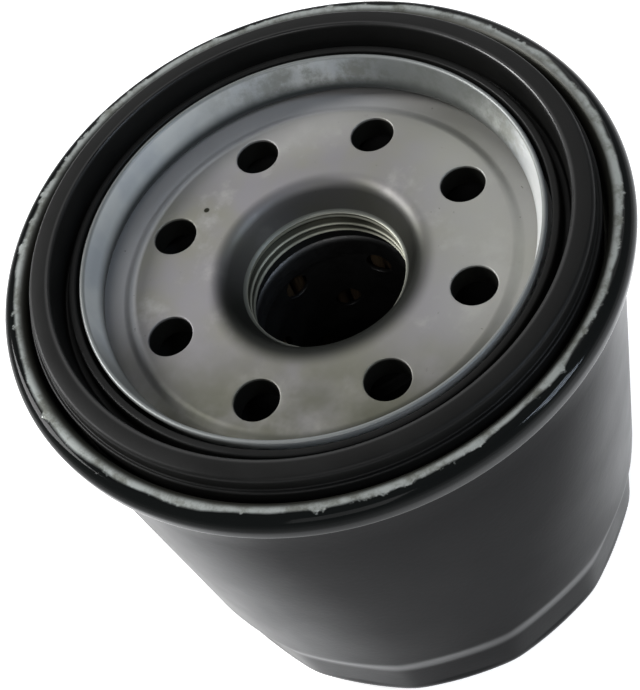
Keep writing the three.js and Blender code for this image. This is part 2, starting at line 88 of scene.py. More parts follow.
# ---- Sizes of the pressings and mouldings ----
CAN_RADIUS = 33.1
CAN_SHEET = 0.45
CAN_CORNER = 4.0
DISH_RADIUS = 21.0
DISH_DEPTH = 1.5
FLAT_COUNT = 14
FLAT_TURN = 19.8  # degrees from +X to a corner between two wrench flats
FLAT_TOP = 15.6
FLAT_ARCH = 0.9
FLAT_SHOULDER = 4.4  # height over which the edges between the flats run out into the round wall
FLAT_SPREAD = 1.6  # how much more of it a flat's middle takes
FLAT_EDGE = 0.45  # how far the rounded edges between the flats lie inside the wall
FLAT_FADE = 4.2  # height over which the flats rise out of the closed end's round corner

PLATE_SHEET = 3.0
PLATE_STEP = 0.4
PLATE_STEP_RADIUS = 21.6
HOLE_COUNT = 8
HOLE_CIRCLE = 18.2
HOLE_RADIUS = 2.55
THREAD_PITCH = 1.5
THREAD_MINOR = 9.22
THREAD_MAJOR = 10.0
FUNNEL_LIP = 9.5  # radius where the funnel ends above the thread
FUNNEL_DEPTH = 3.3
FUNNEL_ROUND = 2.0
FUNNEL_SLOPE = 62  # degrees from level
NECK_RADIUS = 12.2

LID_SHEET = 0.6
LIP_RADIUS = 24.6  # at the foot of the gasket channel's inner lip
LIP_FLARE = 0.72  # how far the lip's edge leans away from the axis
LIP_HEIGHT = 5.2  # above the plate's face
LIP_OUTSIDE = 27.0  # radius where the lip ends and the gasket's channel begins
PAINT_EDGE = 32.98  # radius where the paint on the seam is worn through
RIDGE_IN = 28.1  # inner and outer radius of the gasket's ridge
RIDGE_OUT = 30.45
RUBBED_RADIUS = 28.3  # where the ridge's inner edge is rubbed shiny

# ---- Fineness of the round meshes ----
ROUND_STEPS = 336  # a multiple of the flats, for the large pressings
MID_STEPS = 128
SMALL_STEPS = 64
WELD_DISTANCE = 1e-4


# ---- Camera and light ----
CAMERA_PLACE = (-62.16, -51.6, 153.88)
CAMERA_TURN = (28.646, 11.807, -70.696)
CAMERA_LENS = 58.53
CAMERA_SHIFT = (-0.1014, 0.1232)
LIGHT_DISTANCE = 900
WINDOW_BLUE = (0.72, 0.84, 1.0)
FLOOR_SIZE = 6  # metres
FLOOR_GLOW = 0.7


def make_camera():
    data = bpy.data.cameras.new("camera")
    data.lens = CAMERA_LENS
    data.sensor_width = 36
    data.shift_x, data.shift_y = CAMERA_SHIFT
    data.clip_start = 0.01
    data.clip_end = 20
    camera = bpy.data.objects.new("camera", data)
    camera.location = Vector(CAMERA_PLACE) * MM
    camera.rotation_euler = [math.radians(angle) for angle in CAMERA_TURN]
    bpy.context.scene.collection.objects.link(camera)
    bpy.context.scene.camera = camera


def area_light(name, azimuth, elevation, size, power, colour=(1, 1, 1)):
    """A rectangular soft box that looks at the filter; azimuth is counted from +X towards +Y."""
    data = bpy.data.lights.new(name, "AREA")
    data.shape = "RECTANGLE"
    data.size, data.size_y = (side * MM for side in size)
    data.energy = power
    data.color = colour
    light = bpy.data.objects.new(name, data)
    turn, rise = math.radians(azimuth), math.radians(elevation)
    away = Vector((*polar(math.cos(rise), turn), math.sin(rise)))
    light.location = away * LIGHT_DISTANCE * MM + Vector((0, 0, PLATE_FACE / 2 * MM))
    light.rotation_euler = away.to_track_quat("Z", "Y").to_euler()
    bpy.context.scene.collection.objects.link(light)


def make_world():
    """A dim studio with a pale band along the horizon."""
    world = bpy.data.worlds.new("studio")
    world.use_nodes = True
    nodes, links = world.node_tree.nodes, world.node_tree.links
    place = nodes.new("ShaderNodeTexCoord")
    split = nodes.new("ShaderNodeSeparateXYZ")
    ramp = nodes.new("ShaderNodeValToRGB")
    ramp.color_ramp.interpolation = "EASE"
    horizon, zenith = ramp.color_ramp.elements
    horizon.position, horizon.color = 0.1, (0.80, 0.81, 0.82, 1)
    zenith.position, zenith.color = 0.95, (0.07, 0.07, 0.075, 1)
    middle = ramp.color_ramp.elements.new(0.38)
    middle.color = (0.16, 0.16, 0.165, 1)
    links.new(place.outputs["Generated"], split.inputs[0])
    links.new(split.outputs["Z"], ramp.inputs["Fac"])
    links.new(ramp.outputs["Color"], nodes["Background"].inputs["Color"])
    bpy.context.scene.world = world


def make_floor():
    """A pale floor that glows a little, as a light table does."""
    bpy.ops.mesh.primitive_plane_add(size=FLOOR_SIZE)
    floor = bpy.context.object
    floor.name = "floor"
    material = bpy.data.materials.new("floor_white")
    material.use_nodes = True
    shader = material.node_tree.nodes["Principled BSDF"]
    shader.inputs["Base Color"].default_value = (0.9, 0.9, 0.9, 1)
    shader.inputs["Roughness"].default_value = 0.9
    shader.inputs["Specular IOR Level"].default_value = 0.1
    shader.inputs["Emission Color"].default_value = (1, 1, 1, 1)
    shader.inputs["Emission Strength"].default_value = FLOOR_GLOW
    floor.data.materials.append(material)


# ---- Outlines ----
def arc(r, z, radius, start, end, steps=6):
    """Points on an arc round (r, z); angles in degrees, counted from the outward radius."""
    points = []
    for i in range(steps + 1):
        angle = math.radians(start + (end - start) * i / steps)
        points.append((r + radius * math.cos(angle), z + radius * math.sin(angle)))
    return points


def polar(r, angle):
    """The point at a radius and an angle, seen from above."""
    return r * math.cos(angle), r * math.sin(angle)


def offset(line, distance, closed=False):
    """One side of a line of points, moved sideways by a mitred offset."""
    moved = []
    for i, point in enumerate(line):
        before = line[i - 1] if closed or i > 0 else None
        after = line[(i + 1) % len(line)] if closed or i < len(line) - 1 else None
        a = side_of(before or point, point if before else after)
        b = side_of(point if after else before, after or point)
        scale = distance / (1 + a.dot(b))
        moved.append((point[0] + (a.x + b.x) * scale, point[1] + (a.y + b.y) * scale))
    return moved


def side_of(start, end):
    """The direction to the right of the way from start to end."""
    way = Vector((end[0] - start[0], end[1] - start[1]))
    way.normalize()
    return Vector((way.y, -way.x))


def sheet(line, thickness, end_steps=5):
    """The closed outline of a pressed sheet with rounded edges, from its middle line."""
    half = thickness / 2
    outline = offset(line, half)
    for point, towards in ((line[-1], line[-2]), (line[0], line[1])):
        heading = math.degrees(math.atan2(point[1] - towards[1], point[0] - towards[0]))
        outline += arc(*point, half, heading - 90, heading + 90, end_steps)[1:-1]
        if point is line[-1]:
            outline += offset(line, -half)[::-1]
    return outline


def rounded(outline, radii, steps=4):
    """A closed outline with its corners rounded, by one radius or each by its own."""
    points = []
    for i, point in enumerate(outline):
        radius = radii[i] if isinstance(radii, tuple) else radii
        here = Vector(point)
        before = (Vector(outline[i - 1]) - here).normalized()
        after = (Vector(outline[(i + 1) % len(outline)]) - here).normalized()
        half = before.angle(after) / 2
        centre = here + (before + after).normalized() * radius / math.sin(half)
        start = here + before * radius / math.tan(half) - centre
        end = here + after * radius / math.tan(half) - centre
        turn = math.atan2(start.x * end.y - start.y * end.x, start.dot(end))
        first = math.degrees(math.atan2(start.y, start.x))
        points += arc(*centre, radius, first, first + math.degrees(turn), steps)
    return points


# ---- Meshes ----
def make_piece(name, bm, material, sharp_angle=40):
    """Turns a bmesh in millimetres into an object in metres with smooth faces."""
    bmesh.ops.remove_doubles(bm, verts=bm.verts, dist=WELD_DISTANCE)
    bmesh.ops.recalc_face_normals(bm, faces=bm.faces)
    mesh = bpy.data.meshes.new(name)
    bm.to_mesh(mesh)
    bm.free()
    for vertex in mesh.vertices:
        vertex.co *= MM
    mesh.shade_smooth()
    mesh.set_sharp_from_angle(angle=math.radians(sharp_angle))
    mesh.materials.append(material)
    piece = bpy.data.objects.new(name, mesh)
    bpy.context.scene.collection.objects.link(piece)
    return piece


def lathe(outline, steps=ROUND_STEPS, shape=None):
    """A closed outline of (r, z) points turned about Z; shape may move each point."""
    bm = bmesh.new()
    rings = []
    for i in range(steps):
        angle = 2 * math.pi * i / steps
        ring = []
        for r, z in outline:
            if shape:
                r, z = shape(angle, r, z)
            ring.append(bm.verts.new((*polar(r, angle), z)))
        rings.append(ring)
    for i, ring in enumerate(rings):
        join_loops(bm, ring, rings[(i + 1) % steps])
    return bm


def join_loops(bm, first, second, closed=True):
    """Faces between two loops of the same number of points."""
    count = len(first)
    for i in range(count if closed else count - 1):
        k = (i + 1) % count
        bm.faces.new((first[i], first[k], second[k], second[i]))


def join_rings(bm, rings):
    """Faces between each loop and the next."""
    for first, second in zip(rings, rings[1:]):
        join_loops(bm, first, second)


def place(piece, body, slot, *nodes):
    """Lets a piece ride on a body in place of CAD nodes."""
    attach(piece, body)
    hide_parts(*nodes)


def flex(piece, body_a, body_b, start, end, slot, *nodes):
    """Bakes a piece's place into its mesh, in place of CAD nodes; the two bodies and the heights are
    not used.
    """
    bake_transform(piece)
    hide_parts(*nodes)


# ---- Materials ----
class Finish:
    """A material's nodes, with short calls for what the finishes share."""

    def __init__(self, name):
        self.material = bpy.data.materials.new(name)
        self.material.use_nodes = True
        self.nodes = self.material.node_tree.nodes
        self.links = self.material.node_tree.links
        self.shader = self.nodes["Principled BSDF"]
        self.point = self.nodes.new("ShaderNodeTexCoord").outputs["Object"]

    def feed(self, socket, value):
        """Joins a node's output to a socket, or sets the socket to a value."""
        if isinstance(value, bpy.types.NodeSocket):
            self.links.new(value, socket)
        elif isinstance(value, tuple) and len(value) == 3 and socket.type == "RGBA":
            socket.default_value = (*value, 1)
        else:
            socket.default_value = value

    def set(self, **values):
        """Principled inputs by name, with _ for a space."""
        for name, value in values.items():
            self.feed(self.shader.inputs[name.replace("_", " ")], value)

    def math(self, operation, a, b):
        node = self.nodes.new("ShaderNodeMath")
        node.operation = operation
        self.feed(node.inputs[0], a)
        self.feed(node.inputs[1], b)
        return node.outputs[0]

    def both(self, a, b):
        """Two masks multiplied: full only where both are."""
        return self.math("MULTIPLY", a, b)

    def stretched(self, scale):
        """The point with each coordinate multiplied by its own scale."""
        node = self.nodes.new("ShaderNodeVectorMath")
        node.operation = "MULTIPLY"
        self.feed(node.inputs[0], self.point)
        self.feed(node.inputs[1], scale)
        return node.outputs[0]

    def noise(self, size, detail=3.0, roughness=0.55, stretch=None, shift=0.0):
        """Noise from 0 to 1 whose features are about size millimetres across."""
        node = self.nodes.new("ShaderNodeTexNoise")
        node.noise_dimensions = "4D"
        self.feed(node.inputs["Vector"], self.stretched(stretch) if stretch else self.point)
        self.feed(node.inputs["W"], shift)
        self.feed(node.inputs["Scale"], 1 / (size * MM))
        self.feed(node.inputs["Detail"], detail)
        self.feed(node.inputs["Roughness"], roughness)
        return node.outputs["Fac"]

    def span(self, value, start, end, low_out=0.0, high_out=1.0):
        """A value carried smoothly from start..end to low_out..high_out."""
        node = self.nodes.new("ShaderNodeMapRange")
        node.interpolation_type = "SMOOTHSTEP"
        self.feed(node.inputs["Value"], value)
        self.feed(node.inputs["From Min"], start)
        self.feed(node.inputs["From Max"], end)
        self.feed(node.inputs["To Min"], low_out)
        self.feed(node.inputs["To Max"], high_out)
        return node.outputs["Result"]

    def mix(self, factor, a, b):
        """Colour a where the factor is 0, and b where it is 1."""
        node = self.nodes.new("ShaderNodeMix")
        node.data_type = "RGBA"
        self.feed(node.inputs["Factor"], factor)
        first, second, result = 6, 7, 2  # the sockets that carry colours
        self.feed(node.inputs[first], a)
        self.feed(node.inputs[second], b)
        return node.outputs[result]

    def radius(self):
        """The point's distance from the axis, in millimetres."""
        node = self.nodes.new("ShaderNodeVectorMath")
        node.operation = "LENGTH"
        self.feed(node.inputs[0], self.stretched((PER_METRE, PER_METRE, 0)))
        return node.outputs["Value"]

    def height(self):
        """The point's height, in millimetres."""
        node = self.nodes.new("ShaderNodeSeparateXYZ")
        self.feed(node.inputs[0], self.point)
        return self.math("MULTIPLY", node.outputs["Z"], PER_METRE)

    def along(self, azimuth):
        """How far the point lies from the axis along one azimuth, in millimetres."""
        node = self.nodes.new("ShaderNodeVectorMath")
        node.operation = "DOT_PRODUCT"
        self.feed(node.inputs[0], self.point)
        self.feed(node.inputs[1], (*polar(PER_METRE, math.radians(azimuth)), 0))
        return node.outputs["Value"]

    def distance(self, place):
        """The point's distance from a place, both in millimetres."""
        node = self.nodes.new("ShaderNodeVectorMath")
        node.operation = "DISTANCE"
        self.feed(node.inputs[0], self.stretched((PER_METRE,) * 3))
        self.feed(node.inputs[1], place)
        return node.outputs["Value"]

    def upward(self):
        """How far the surface faces upwards, from -1 to 1."""
        node = self.nodes.new("ShaderNodeSeparateXYZ")
        normal = self.nodes.new("ShaderNodeTexCoord").outputs["Normal"]
        self.feed(node.inputs[0], normal)
        return node.outputs["Z"]

    def glance(self):
        """0 where a surface is looked at squarely, 1 where it is seen edge-on."""
        return self.nodes.new("ShaderNodeLayerWeight").outputs["Facing"]

    def bump(self, height, depth):
        """Surface relief of depth millimetres for a height from 0 to 1."""
        node = self.nodes.new("ShaderNodeBump")
        self.feed(node.inputs["Strength"], 1.0)
        self.feed(node.inputs["Distance"], depth * MM)
        self.feed(node.inputs["Height"], height)
        self.feed(self.shader.inputs["Normal"], node.outputs["Normal"])


def paint_finish():
    """Satin black enamel: faint orange peel, dusty patches, and a painted highlight along the shoulder
    above the flats.
    """
    f = Finish("satin_black_paint")
    height = f.height()
    cloud = f.noise(14, 3)
    dust = f.span(f.noise(1.1, 5, 0.7), 0.58, 0.8, 0.0, 0.3)
    black = f.mix(cloud, (0.005, 0.005, 0.0053), (0.008, 0.008, 0.0083))
    # A painted highlight: a paler colour on the upward-facing shoulder above the flats.
    shoulder_highlight = f.both(f.span(f.upward(), 0.03, 0.19), f.span(height, 20.0, 18.0))
    black = f.mix(shoulder_highlight, black, (0.07, 0.075, 0.072))
    # It shines where it is seen squarely or edge-on, and less towards the closed end.
    glance = f.glance()
    dulled = f.span(height, 4.0, 40.0, 0.35, 1.0)
    edge_on = f.both(f.span(glance, 0.65, 1.0, 0.018, 0.32), dulled)
    squarely = f.span(glance, 0.1, 0.45, 0.4, 0.0)
    f.set(
        Base_Color=f.mix(dust, black, (0.025, 0.025, 0.025)),
        Roughness=f.span(cloud, 0.3, 0.7, 0.30, 0.38),
        Specular_IOR_Level=f.math("ADD", edge_on, squarely),
    )
    f.bump(f.noise(0.7, 2), 0.012)
    return f.material


def plate_finish():
    """Bare stamped steel: grey with violet and olive patches, light stains and small pits."""
    f = Finish("stamped_steel")
    radius, height = f.radius(), f.height()
    broad = f.noise(11, 3, shift=1.0)
    olive, violet = (0.27, 0.265, 0.225), (0.275, 0.265, 0.275)
    colour = f.mix(f.span(broad, 0.36, 0.62), olive, violet)
    stain = f.span(f.noise(5.5, 5, 0.62, shift=4.0), 0.52, 0.72)
    colour = f.mix(stain, colour, (0.38, 0.37, 0.355))
    # Each side of the face gets painted light or shade: painted light on the far side and on the right
    # side, and painted shade in patches on the near side.
    far_side_light = f.span(f.along(30), 13.0, 23.0, 0.0, 0.8)
    colour = f.mix(far_side_light, colour, (0.52, 0.51, 0.485))
    plain = f.span(f.along(-65), 7.0, 20.0, 0.0, 0.7)
    colour = f.mix(plain, colour, (0.41, 0.41, 0.38))
    patches = f.span(f.noise(8, 4, shift=7.0), 0.3, 0.55, 0.45, 1.0)
    near_side_shade = f.both(f.span(f.along(-170), 6.0, 21.0), patches)
    colour = f.mix(near_side_shade, colour, (0.125, 0.125, 0.095))
    # The low rim outside the step: painted light on its far side, a painted highlight along the step's
    # edge, and painted shade on its near side.
    rim_light = f.both(f.span(radius, 21.4, 22.0), f.span(f.along(60), 4.0, 20.0, 0.0, 0.9))
    colour = f.mix(rim_light, colour, (0.80, 0.79, 0.79))
    step_edge = f.both(f.span(radius, 21.0, 21.5), f.span(radius, 22.3, 21.8))
    step_highlight = f.both(step_edge, f.span(f.along(85), 10.0, 20.0, 0.0, 0.5))
    colour = f.mix(step_highlight, colour, (0.90, 0.90, 0.90))
    dark_rim = f.both(f.span(radius, 21.3, 22.2), f.span(f.along(-155), 13.0, 22.0, 0.0, 0.7))
    colour = f.mix(dark_rim, colour, (0.09, 0.09, 0.075))
    pit = f.span(f.distance((4.2, 15.9, PLATE_FACE)), 0.42, 0.25)
    colour = f.mix(pit, colour, (0.02, 0.02, 0.012))
    speck = f.span(f.noise(0.9, 4, 0.7, shift=9.0), 0.66, 0.75)
    colour = f.mix(speck, colour, (0.14, 0.135, 0.12))
    # Painted shade in the funnel, which spreads further out on two sides.
    near_side = f.span(f.along(-150), -8.0, 12.0, 0.0, 1.7)
    right_side = f.span(f.along(-15), 4.0, 11.0, 0.0, 0.35)
    spread = f.math("SUBTRACT", f.math("SUBTRACT", radius, near_side), right_side)
    funnel_shade = f.both(f.span(spread, 12.4, 10.2), f.span(near_side, 0.0, 1.0, 0.78, 1.0))
    colour = f.mix(funnel_shade, colour, (0.022, 0.023, 0.02))
    colour = with_thread(f, radius, height, colour)
    # The walls of the inlet holes, under the face, painted near-black as painted shade.
    under_face = f.span(height, PLATE_FACE - 0.12, PLATE_FACE - 0.4)
    holes = f.both(f.span(radius, 13.4, 13.8), f.span(radius, PLATE_STEP_RADIUS, 21.3))
    punched = f.both(under_face, holes)
    colour = f.mix(punched, colour, (0.006, 0.006, 0.005))
    scratches = f.noise(1.2, 3, 0.6, stretch=(1, 9, 1))
    grain = f.noise(0.22, 2)
    f.set(
        Base_Color=colour,
        Metallic=f.both(f.math("SUBTRACT", 1.0, punched), 0.7),
        Roughness=f.span(broad, 0.3, 0.7, 0.44, 0.54),
        Specular_IOR_Level=0.2,
    )
    f.bump(f.math("ADD", f.both(scratches, 0.6), grain), 0.006)
    return f.material


def with_thread(f, radius, height, colour):
    """The colour, with light olive crests, grooves darkened as painted shade and the ring at the lip
    toned down as painted shade, in the bore below the funnel's lip.
    """
    lip = PLATE_FACE - FUNNEL_DEPTH
    groove = f.span(radius, THREAD_MINOR + 0.03, THREAD_MINOR + 0.25)
    thread = f.mix(groove, (0.34, 0.34, 0.28), (0.03, 0.03, 0.022))
    on_lip = f.span(height, lip - 0.28, lip - 0.18)
    thread = f.mix(on_lip, thread, (0.17, 0.175, 0.155))
    bored = f.span(radius, 10.9, 10.5)
    below_lip = f.span(height, lip + 0.16, lip + 0.08)
    return f.mix(f.both(bored, below_lip), colour, thread)


def lid_finish():
    """Zinc plated sheet whose outer edge keeps the can's black paint, chipped along its edge."""
    f = Finish("zinc_and_worn_paint")
    radius, height = f.radius(), f.height()
    wander = f.span(f.noise(7, 2, shift=2.0), 0.3, 0.7, -0.22, 0.22)
    nick = f.span(f.noise(1.7, 4, 0.6, shift=6.0), 0.50, 0.74, 0.0, 0.55)
    edge = f.math("ADD", f.math("ADD", wander, nick), PAINT_EDGE)
    painted = f.span(f.math("SUBTRACT", radius, edge), -0.20, 0.16)
    cloud = f.noise(6, 3, shift=3.0)
    zinc = f.mix(f.span(cloud, 0.35, 0.65), (0.50, 0.53, 0.55), (0.62, 0.64, 0.63))
    worn_side = f.span(f.along(-10), 8.0, 22.0)
    blotch = f.span(f.noise(3.2, 6, 0.7, shift=8.0), 0.40, 0.62)
    zinc = f.mix(f.both(blotch, worn_side), zinc, (0.30, 0.31, 0.285))
    # The inner lip: painted light and painted shade on its sides by azimuth, painted shade at its foot,
    # and its crest painted darker.
    on_lip = f.span(radius, LIP_OUTSIDE, LIP_OUTSIDE - 0.5)
    for azimuth, share, shade in (
        (-15, 0.85, (0.15, 0.16, 0.15)),
        (-75, 0.9, (0.92, 0.94, 0.93)),
        (160, 0.8, (0.14, 0.145, 0.13)),
    ):
        side = f.span(f.along(azimuth), 21.0, 24.6, 0.0, share)
        inside_lip = f.span(radius, LIP_OUTSIDE + 0.5, LIP_OUTSIDE - 0.5)
        zinc = f.mix(f.both(side, inside_lip), zinc, shade)
    # Painted shade at the lip's foot, stronger on the far side.
    crevice = f.span(height, PLATE_FACE + 3.1, PLATE_FACE + 1.3)
    far_side = f.span(f.along(60), -16.0, 2.0, 0.3, 1.0)
    lip_foot_shade = f.both(f.both(crevice, far_side), on_lip)
    zinc = f.mix(lip_foot_shade, zinc, (0.018, 0.024, 0.024))
    # The seam: smeared where it is rubbed, with painted shade in the channel towards the gasket.
    smear = f.span(f.noise(2.5, 5, 0.7, shift=12.0), 0.42, 0.66)
    worn = f.mix(smear, (0.33, 0.35, 0.335), (0.14, 0.145, 0.125))
    zinc = f.mix(f.span(radius, 31.0, 32.0), zinc, worn)
    channel_shade = f.both(f.span(radius, 28.0, 30.0), f.span(radius, 32.7, 32.0))
    zinc = f.mix(channel_shade, zinc, (0.035, 0.035, 0.028))
    # The lip's crest is painted darker, as painted shade over its highlight.
    lip_top = PLATE_FACE + LIP_HEIGHT
    crest = f.span(height, lip_top - 0.35, lip_top - 0.1)
    zinc = f.mix(f.both(crest, on_lip), zinc, (0.22, 0.23, 0.225))
    paint_gloss = f.span(f.along(-75), 6.0, 26.0, 0.05, 0.18)
    f.set(
        Base_Color=f.mix(painted, zinc, (0.006, 0.0068, 0.0066)),
        Metallic=f.span(painted, 0.0, 1.0, 0.5, 0.0),
        Roughness=f.span(painted, 0.0, 1.0, 0.45, 0.08),
        Specular_IOR_Level=f.span(painted, 0.0, 1.0, 0.5, paint_gloss),
    )
    f.bump(f.math("ADD", painted, f.both(f.noise(0.5, 3), 0.12)), 0.03)
    return f.material


def rubber_finish(name, colour, roughness, rubbed_radius=0.0):
    """Moulded rubber with a fine skin and specks of talc; an edge at one radius may be rubbed shiny."""
    f = Finish(name)
    radius = f.radius()
    from_inside = f.span(radius, rubbed_radius - 0.2, rubbed_radius)
    from_outside = f.span(radius, rubbed_radius + 0.45, rubbed_radius)
    shiny = f.both(from_inside, from_outside)
    dusty_side = f.span(f.along(172), 22.0, 29.0, 0.0, 0.09)
    talc = f.span(f.math("ADD", f.noise(0.6, 4, 0.75, shift=5.0), dusty_side), 0.70, 0.80, 0.0, 0.5)
    cloud = f.noise(6, 3)
    lighter = tuple(1.5 * c for c in colour)
    pale = tuple(3.2 * c for c in colour)
    skin = f.span(cloud, 0.3, 0.7, roughness - 0.05, roughness + 0.06)
    f.set(
        Base_Color=f.mix(talc, f.mix(cloud, colour, lighter), pale),
        Roughness=f.math("SUBTRACT", skin, f.both(shiny, 0.12)),
        Specular_IOR_Level=f.span(shiny, 0.0, 1.0, 0.15, 0.6),
    )
    f.bump(f.noise(0.25, 3), 0.01)
    return f.material


def steel_finish(name, colour, roughness):
    """Plain sheet or wire: metal with a fine grain and darker handling marks."""
    f = Finish(name)
    marks = f.span(f.noise(4, 4, 0.6), 0.45, 0.7)
    grain = f.noise(0.35, 3)
    f.set(
        Base_Color=f.mix(marks, colour, tuple(0.72 * c for c in colour)),
        Metallic=1.0,
        Roughness=f.span(grain, 0.3, 0.7, roughness - 0.06, roughness + 0.08),
    )
    f.bump(grain, 0.006)
    return f.material


def paper_finish():
    """Resin-soaked filter paper with matted fibres, its brown darkened far below the paper's tan as
    painted shade inside the can.
    """
    f = Finish("filter_paper")
    fibres = f.noise(0.35, 5, 0.7, stretch=(1, 1, 0.35))
    cloud = f.noise(6, 3)
    f.set(
        Base_Color=f.mix(f.both(fibres, cloud), (0.055, 0.035, 0.017), (0.032, 0.02, 0.009)),
        Roughness=0.85,
        Specular_IOR_Level=0.25,
    )
    f.bump(fibres, 0.05)
    return f.material


def resin_finish():
    """Cured plastisol, slightly glossy and uneven."""
    f = Finish("potting_resin")
    cloud = f.noise(3, 3)
    f.set(
        Base_Color=f.mix(cloud, (0.80, 0.76, 0.64), (0.66, 0.60, 0.46)),
        Roughness=f.span(cloud, 0.3, 0.7, 0.38, 0.55),
    )
    f.bump(cloud, 0.12)
    return f.material


# ---- The can ----
def flat_depth(angle, z):
    """How far a wrench flat draws the wall in, at one angle and height."""
    pitch = 2 * math.pi / FLAT_COUNT
    local = (angle - math.radians(FLAT_TURN)) % pitch - pitch / 2
    apothem = CAN_RADIUS * math.cos(pitch / 2)
    depth = math.hypot(CAN_RADIUS - apothem / math.cos(local), FLAT_EDGE)
    share = (CAN_RADIUS * math.cos(local) - apothem) / (CAN_RADIUS - apothem)
    arch = FLAT_TOP + FLAT_ARCH * share
    return depth * smooth((arch - z) / (FLAT_SHOULDER + FLAT_SPREAD * share))


def smooth(share):
    """A share held between 0 and 1, with a gentle start and end."""
    held = min(1.0, max(0.0, share))
    return held * held * (3 - 2 * held)


def can_shape(angle, r, z):
    """The wrench flats, which fade out round the closed end's corner."""
    return r - flat_depth(angle, z) * smooth(z / FLAT_FADE), z


def make_can(material):
    wall = CAN_RADIUS - CAN_SHEET / 2
    foot = CAN_SHEET / 2
    corner = CAN_RADIUS - CAN_CORNER
    hook = 0.52  # how far the can's edge reaches out into the seam
    bend, dish_bend = 0.25, 0.8
    dish = foot + DISH_DEPTH
    line = [(0.01, dish)]
    line += arc(DISH_RADIUS - dish_bend, dish - dish_bend, dish_bend, 90, 45, 5)
    line += arc(DISH_RADIUS + 1.4, foot + dish_bend, dish_bend, 225, 270, 5)
    line += [(DISH_RADIUS + 4, foot)]
    line += arc(corner, CAN_CORNER, CAN_CORNER - foot, -90, 0, 14)
    flats_top = FLAT_TOP + FLAT_ARCH + 0.4
    shoulder = CAN_TOP - CAN_SHEET / 2 - bend
    for start, end, steps in ((CAN_CORNER, flats_top, 36), (flats_top, shoulder, 6)):
        line += [(wall, start + (end - start) * (i + 1) / steps) for i in range(steps)]
    line += arc(wall + bend, shoulder, bend, 180, 90, 4)[1:]
    line += arc(wall + hook - bend, shoulder, bend, 90, 0, 4)[1:]
    line += [(wall + hook, CAN_TOP - CAN_SHEET - 0.3)]
    piece = make_piece("can_shell", lathe(sheet(line, CAN_SHEET), ROUND_STEPS, can_shape), material)
    place(piece, "housing", "can_paint", "can")


# ---- The seamed lid ----
def make_lid(material):
    half = LID_SHEET / 2
    gap = 0.3  # between the plate's rim and the channel's floor
    floor = PLATE_FACE - PLATE_STEP + gap + half
    lip_bend, wall_bend, seam_bend, curl = 1.6, 0.7, 1.15, 0.25
    chuck_wall = 31.95  # radius of the seam's inner wall
    crest = SEAM_TOP - half
    outer = SEAM_RADIUS - half
    foot = PLATE_FACE + 2.8 + half
    line = [(LIP_RADIUS + LIP_FLARE, PLATE_FACE + LIP_HEIGHT - half)]
    line += arc(LIP_RADIUS + lip_bend, floor + lip_bend, lip_bend, 170, 270, 10)
    line += arc(chuck_wall - wall_bend, floor + wall_bend, wall_bend, 270, 360, 6)
    line += arc(chuck_wall + wall_bend, crest - wall_bend, wall_bend, 180, 90, 7)
    line += arc(outer - seam_bend, crest - seam_bend, seam_bend, 90, 0, 12)
    line += arc(outer - curl, foot + curl, curl, 0, -90, 5)
    line += [(outer - 0.75, foot)]
    piece = make_piece("seamed_lid", lathe(sheet(line, LID_SHEET)), material)
    place(piece, "housing", "lid_zinc", "seaming_lid")


# ---- The sealing gasket ----
def make_gasket(material):
    inner, outer = low_inner("sealing_gasket"), GASKET_RADIUS
    lip_edge = inner + 0.9
    lip_top, outer_top = PLATE_FACE + 5.1, PLATE_FACE + 5.8
    groove = PLATE_FACE + 3.4  # height of the floor between lip and ridge
    chamfer, draft = 1.0, 0.15
    outline = [
        (inner + chamfer, GASKET_FOOT),
        (outer, GASKET_FOOT),
        (outer, outer_top),
        (RIDGE_OUT + draft, outer_top - 0.3),
        (RIDGE_OUT, GASKET_TOP),
        (RIDGE_IN, GASKET_TOP),
        (RIDGE_IN - 0.1, groove),
        (lip_edge + draft, groove),
        (lip_edge, lip_top),
        (inner, lip_top),
        (inner, GASKET_FOOT + chamfer),
    ]
    radii = (0.2, 0.2, 0.2, 0.15, 0.5, 0.4, 0.3, 0.3, 0.3, 0.25, 0.3)
    piece = make_piece("gasket_ring", lathe(rounded(outline, radii)), material)
    place(piece, "housing", "gasket_rubber", "sealing_gasket")


# ---- The base plate ----
PATCH_STEPS = 24  # ring segments that one inlet hole's patch spans
PATCH_SIDE = 10  # segments along a patch's straight sides
PATCH_IN = 13.6  # inner and outer radius of the ring of patches
PATCH_OUT = PLATE_STEP_RADIUS - 0.2
EDGE_ROUND = 0.1  # of a punched hole
THREAD_STEPS = 72  # rings along the thread


def patch_loop(at, steps, sides):
    """The boundary of a four-sided patch; at(u, v) gives a point for shares u and v."""
    loop = [at(i / steps, 0) for i in range(steps)]
    loop += [at(1, i / sides) for i in range(sides)]
    loop += [at(1 - i / steps, 1) for i in range(steps)]
    loop += [at(0, 1 - i / sides) for i in range(sides)]
    return loop


def add_hole_patch(bm, boundary, centre, radius, sheet_depth, edge, put):
    """Both faces of a sheet round one hole, and the hole's rounded edges and wall.

    Points lie in the sheet's plane; put(point, depth) gives their place under the outer face.
    """
    rays = [(point - centre).normalized() for point in boundary]
    rim = [centre + ray * (radius + edge) for ray in rays]
    outward = (0.0, 0.3, 0.6, 0.82, 0.94)
    loops = [([a.lerp(b, share) for a, b in zip(boundary, rim)], 0.0) for share in outward]
    bend = arc(radius + edge, -edge, edge, 90, 180, 4)
    bend += arc(radius + edge, edge - sheet_depth, edge, 180, 270, 3)
    loops += [([centre + ray * r for ray in rays], -z) for r, z in bend]
    inward = (0.9, 0.5, 0.0)
    loops += [([a.lerp(b, share) for a, b in zip(boundary, rim)], sheet_depth) for share in inward]
    join_rings(bm, [[bm.verts.new(put(point, depth)) for point in points] for points, depth in loops])


